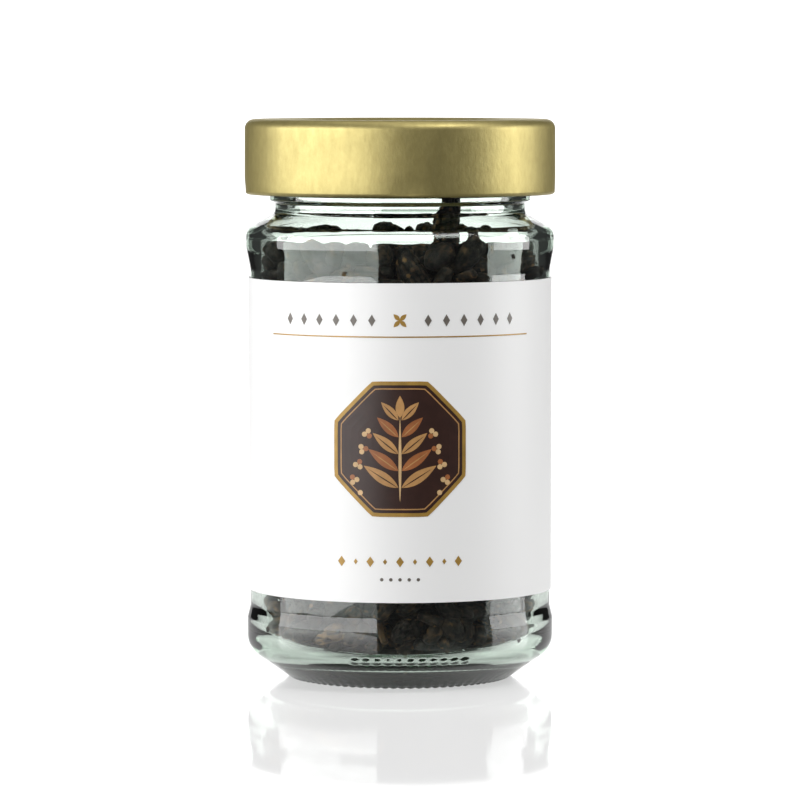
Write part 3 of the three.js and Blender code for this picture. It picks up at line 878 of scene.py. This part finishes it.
# What lies behind the label can't be seen, and gets fewer rows of points
def seenAt(places):
    g = longPepper
    x, y, z = places.T
    return (z > g["seenAbove"]) | (z < g["seenBelow"]) | ((np.abs(x) < g["seamHalf"]) & (y > g["seamOut"]))


# The berries are domes: each point of the surface sinks with its distance from the nearest one
def berrySurface(pepper, chance, columns, spacing):
    g = longPepper
    share = outlineShares(pepper, spacing)[1:-1]
    share = share[seenAt(spineAt(pepper, share)) | (np.arange(len(share)) % g["thinning"] == 0)]
    turn = np.broadcast_to(np.arange(columns) * 2 * math.pi / columns, (len(share), columns))
    radius = pepper["radius"] * pepperShape(share)[:, None] * np.ones_like(turn)
    surface = onPepper(pepper, share, turn, radius)
    berries = berryCentres(pepper, chance)
    sizes = g["berry"] * (1 + chance.uniform(-g["berrySpread"], g["berrySpread"], len(berries)))
    tones = np.clip(chance.normal(0.5, g["toneSpread"], len(berries)), 0, 1)
    rises = chance.uniform(0.75, 1.0, len(berries))
    flat = surface.reshape(-1, 3).astype(np.float32)
    nearest, closeness = [], []
    middles = berries[None, :, :].astype(np.float32)
    for part in np.array_split(flat, max(1, len(flat) // 3000)):
        away = np.linalg.norm(part[:, None, :] - middles, axis=2) / sizes[None, :]
        nearest.append(away.argmin(1))
        closeness.append(away.min(1))
    nearest, closeness = np.concatenate(nearest), np.concatenate(closeness)
    dome = np.sqrt(np.clip(1 - (closeness / g["domeReach"]) ** 2, 0, 1)) * rises[nearest]
    scar = g["scarDepth"] * np.exp(-(closeness / g["scarRadius"]) ** 2)
    relief = (dome - scar).reshape(turn.shape)
    phase = chance.uniform(0, 6, 3)
    lumps = np.sin(share[:, None] * pepper["length"] * 0.4 + phase[0]) * np.cos(turn * 2 + phase[1])
    lumps = lumps + 0.6 * np.sin(share[:, None] * pepper["length"] + turn * 3 + phase[2])
    depth = g["depth"] * np.minimum(1, radius / g["fullDepthAt"])
    moved = (relief - 1) * depth - g["lumps"] * np.clip(radius / 2, 0, 1) * (0.5 + 0.3 * lumps)
    outward = surface - spineAt(pepper, share)[:, None, :]
    outward /= np.maximum(np.linalg.norm(outward, axis=-1, keepdims=True), 1e-6)
    grid = (surface + outward * moved[..., None]).reshape(-1, 3)
    ends = spineAt(pepper, np.array([g["tipShare"], 1 - g["tipShare"]]))
    rows = len(share)
    ring = np.arange(columns)
    following = (ring + 1) % columns
    last = (rows - 1) * columns
    faces = gridFaces(rows, columns).tolist()
    faces += [[rows * columns, int(b), int(a)] for a, b in zip(ring, following)]
    faces += [[rows * columns + 1, int(last + a), int(last + b)] for a, b in zip(ring, following)]
    points = np.vstack([grid, ends])
    tone = np.concatenate([tones[nearest], [0.5, 0.5]])
    # A round body turns outward when its faces look away from its middle
    middle = grid.mean(0)
    sample = np.array(faces[:rows * columns - columns])
    corners = points[sample] - middle
    if np.einsum("ij,ij->", corners[:, 0], np.cross(corners[:, 1], corners[:, 2])) < 0:
        faces = [face[::-1] for face in faces]
    return points, faces, np.concatenate([relief.ravel(), [0.4, 0.4]]), tone


def buildPepper(node, material):
    g = longPepper
    chance = np.random.default_rng(g["seed"] + int(node.split("_")[1]))
    pepper = readPepper(node)
    seen = seenAt(pepper["centres"]).any()
    points, faces, relief, tone = berrySurface(pepper, chance, *(g["fine"] if seen else g["coarse"]))
    if pepper["stalkTip"] is not None:
        points, faces, relief, tone = addStalk(pepper, points, faces, relief, tone)
    piece = addPiece("long_" + node, points * mm, faces, [material], "jar", [node])
    addFloat(piece, "relief", relief)
    addFloat(piece, "tone", np.clip(tone + chance.normal(0, g["wholeToneSpread"]), 0, 1))
    return len(faces)


def addStalk(pepper, points, faces, relief, tone):
    g = longPepper
    base = spineAt(pepper, np.array([g["capShare"]]))[0]
    tip = pepper["stalkTip"]
    ahead = (tip - base) / np.linalg.norm(tip - base)
    side = np.cross(ahead, [0.3, 0.5, 0.8])
    side /= np.linalg.norm(side)
    other = np.cross(side, ahead)
    sides, rows = g["stalkSides"], g["stalkRows"]
    turn = np.arange(sides) * 2 * math.pi / sides
    start = len(points)
    rings = []
    for k in range(rows):
        along = k / (rows - 1)
        girth = g["stalkRadius"] * (0.98 - 0.22 * math.sin(math.pi * along)) * (1 if k < rows - 1 else 0.72)
        ridges = 1 + 0.10 * np.sin(turn * 5 + k * 0.4)
        middle = base + (tip - base) * along
        rings.append(middle + (side[None] * np.cos(turn)[:, None] + other[None] * np.sin(turn)[:, None])
                     * (girth * ridges)[:, None])
    rings.append(tip[None, :])
    tube = gridFaces(rows, sides).tolist()
    last = (rows - 1) * sides
    tube += [[last + k, last + (k + 1) % sides, rows * sides] for k in range(sides)]
    tube += [[(k + 1) % sides, k, rows * sides + 1] for k in range(sides)]
    stalk = np.vstack([*rings, base[None, :]])
    quads = np.array([face for face in tube if len(face) == 4])
    caps = [face for face in tube if len(face) == 3]
    tube = turnOutward(stalk - stalk.mean(0), quads).tolist() + caps
    faces = faces + [[start + k for k in face] for face in tube]
    points = np.vstack([points, stalk])
    relief = np.concatenate([relief, np.full(len(stalk), g["stalkRelief"])])
    tone = np.concatenate([tone, np.full(len(stalk), g["stalkTone"])])
    return points, faces, relief, tone


# Dried skin: painted shade, near black, between the berries, with tops from near black to tan by a random
# tone per berry, and a little dust
pepperSkin = {
    "base": (0.05, 0.03, 0.02), "between": (0.004, 0.003, 0.002), "dust": (0.11, 0.085, 0.065),
    "tops": [
        (0.15, (0.010, 0.006, 0.004)), (0.42, (0.030, 0.017, 0.010)), (0.62, (0.075, 0.042, 0.023)),
        (0.80, (0.150, 0.082, 0.040)), (0.98, (0.340, 0.190, 0.075)),
    ],
    "topsFrom": 0.30, "topsFull": 0.92, "dusting": (-0.15, 0.32), "roughness": (0.55, 0.9),
}


def pepperMaterial():
    g = pepperSkin
    material, tree, shader = newMaterial("driedPepperSkin", g["base"], 0.75)
    relief = addNode(tree, "ShaderNodeAttribute", attribute_name="relief")
    tone = addNode(tree, "ShaderNodeAttribute", attribute_name="tone")
    tops = addNode(tree, "ShaderNodeValToRGB")
    ramp = tops.color_ramp
    darkest, *others, lightest = g["tops"]
    for element, (position, colour) in zip(ramp.elements, (darkest, lightest)):
        element.position, element.color = position, (*colour, 1)
    for position, colour in others:
        ramp.elements.new(position).color = (*colour, 1)
    tree.links.new(tone.outputs["Fac"], tops.inputs["Fac"])
    # Where the relief is low, between the berries, the colour is painted crease shade; the tops take each
    # berry's random tone
    height = addNode(tree, "ShaderNodeMapRange")
    height.inputs["From Min"].default_value = g["topsFrom"]
    height.inputs["From Max"].default_value = g["topsFull"]
    tree.links.new(relief.outputs["Fac"], height.inputs["Value"])
    skinWithCreaseShade = mixColours(tree, height.outputs["Result"], g["between"], tops.outputs["Color"])
    dusty = mixColours(tree, addMottle(tree, 1100, *g["dusting"], 1, 6), skinWithCreaseShade, g["dust"])
    tree.links.new(dusty, shader.inputs["Base Color"])
    tree.links.new(addMottle(tree, 900, *g["roughness"]), shader.inputs["Roughness"])
    addBump(tree, shader, addMottle(tree, 3600, 0, 1, 1, 5), 0.6, 0.00022)
    return material


def buildPeppers(material):
    nodes = sorted(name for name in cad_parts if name.startswith("pepper_"))
    total = sum(buildPepper(node, material) for node in nodes)
    print("peppers:", len(nodes), "with", total, "faces")


driedSkin = pepperMaterial()
buildPeppers(driedSkin)

# Broken bits of pepper in the gaps of the pile, each as large as its gap

brokenBits = {
    "seed": 5, "tries": 40000, "least": 1.5, "most": 2.9, "overlap": 0.86, "stretch": (2.3, 3.2),
    "wall": 29.2, "floor": 5.4, "shoulder": 93.0, "heel": 7.5, "core": 16, "step": 0.6,
    "layers": {"low": (7.2, 20.5), "high": (83.0, 91.0)},
    "dustRadius": 24.9, "dustHeight": 0.75, "dustRough": 0.5,
    "dustColumns": 120, "dustRows": 34, "dustWaves": 60,
}


def gapCentres(chance, layer, spines):
    g = brokenBits
    out = np.sqrt(chance.uniform(g["core"] ** 2, g["wall"] ** 2, g["tries"]))
    turn = chance.random(g["tries"]) * 2 * math.pi
    spots = np.column_stack([out * np.cos(turn), out * np.sin(turn), chance.uniform(*layer, g["tries"])])
    room = []
    for part in np.array_split(spots, 40):
        away = np.linalg.norm(part[:, None, :] - spines[None, :, :3], axis=2) - spines[None, :, 3]
        room.append(away.min(1))
    room = np.minimum(np.concatenate(room), g["wall"] - out)
    room = np.minimum(room, spots[:, 2] - g["floor"])
    # Clear of the rounded heel and the sloping shoulder
    heel, corner, foot = g["heel"], g["wall"] - g["heel"], g["floor"] + g["heel"]
    inside = heel - np.hypot(np.maximum(out - corner, 0), np.maximum(foot - spots[:, 2], 0))
    room = np.where((out > corner) & (spots[:, 2] < foot), np.minimum(room, inside), room)
    room = np.minimum(room, (g["wall"] - out) * 0.5 + (g["shoulder"] + 1.5 - spots[:, 2]) * 0.86)
    kept = []
    for k in np.argsort(-room):
        size = min(room[k], g["most"])
        if size < g["least"]:
            break
        if all(np.linalg.norm(spots[k] - spot) > (size + other) * g["overlap"] for spot, other in kept):
            kept.append((spots[k], size))
    return kept


# A little dust lies on the floor of the jar, up to the curve of its heel
def buildDust(material):
    g = brokenBits
    chance = np.random.default_rng(g["seed"])
    columns, rows = g["dustColumns"], g["dustRows"]
    radius = np.linspace(0, g["dustRadius"], rows)[1:, None]
    turn = np.arange(columns)[None, :] * 2 * math.pi / columns
    x, y = radius * np.cos(turn), radius * np.sin(turn)
    rise = np.zeros_like(x)
    for k in range(g["dustWaves"]):
        wave = chance.normal(0, 0.5 + 0.04 * k, 2)
        rise += np.sin(x * wave[0] + y * wave[1] + chance.uniform(0, 6)) / (1 + 0.06 * k)
    rise = g["dustHeight"] + g["dustRough"] * rise / 5
    top = np.stack([x, y, g["floor"] + np.maximum(rise, 0.15)], -1).reshape(-1, 3)
    under = np.stack([x * 0.985, y * 0.985, np.full_like(x, g["floor"] - 0.25)], -1).reshape(-1, 3)
    count = len(top)
    points = np.vstack([top, under, [[0, 0, g["floor"] + 0.5], [0, 0, g["floor"] - 0.25]]])
    ring = np.arange(columns)
    following = (ring + 1) % columns
    edge = count - columns
    faces = gridFaces(rows - 1, columns)
    rim = np.stack([edge + ring, edge + following, count + edge + following, count + edge + ring], -1)
    faces = turnOutward(points, np.vstack([faces[:, ::-1], rim[:, ::-1], faces + count])).tolist()
    faces += [[int(a), int(b), 2 * count] for a, b in zip(ring, following)]
    faces += [[count + int(b), count + int(a), 2 * count + 1] for a, b in zip(ring, following)]
    piece = addPiece("pepper_dust", points * mm, faces, [material], "jar")
    # These relief values are a fixed pattern, not the dust's shape; through the skin material they mix in
    # painted crease shade
    addFloat(piece, "relief", np.clip(0.55 + 0.2 * np.sin(np.arange(len(points)) * 1.7), 0, 1))
    addFloat(piece, "tone", np.clip(chance.normal(0.42, 0.15, len(points)), 0, 1))


def buildBits(material):
    g = brokenBits
    spines = []
    for node in sorted(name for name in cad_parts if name.startswith("pepper_")):
        pepper = readPepper(node)
        share = np.linspace(0.03, 0.97, 30)
        spines.append(np.column_stack([spineAt(pepper, share), pepper["radius"] * pepperShape(share)]))
    spines = np.vstack(spines)
    for name, layer in g["layers"].items():
        chance = np.random.default_rng(g["seed"])
        points, faces, relief, tone, count = [], [], [], [], 0
        bits = gapCentres(chance, layer, spines)
        for centre, size in bits:
            axis = chance.normal(size=3)
            axis /= np.linalg.norm(axis)
            length = size * chance.uniform(*g["stretch"])
            ends = centre - axis * length / 2
            bit = {"curve": [np.array([0, axis[k] * length, ends[k]]) for k in range(3)], "length": length,
                   "radius": size * 1.02}
            part = berrySurface(bit, chance, round(2 * math.pi * size / g["step"]), g["step"])
            points.append(part[0])
            faces += [[k + count for k in face] for face in part[1]]
            relief.append(part[2])
            tone.append(np.clip(part[3] + chance.normal(0, 0.15), 0, 1))
            count += len(part[0])
        piece = addPiece("pepper_bits_" + name, np.vstack(points) * mm, faces, [material], "jar")
        addFloat(piece, "relief", np.concatenate(relief))
        addFloat(piece, "tone", np.concatenate(tone))
        print("broken bits,", name + ":", len(bits), "with", len(faces), "faces")


buildDust(driedSkin)
buildBits(driedSkin)

bpy.context.view_layer.update()
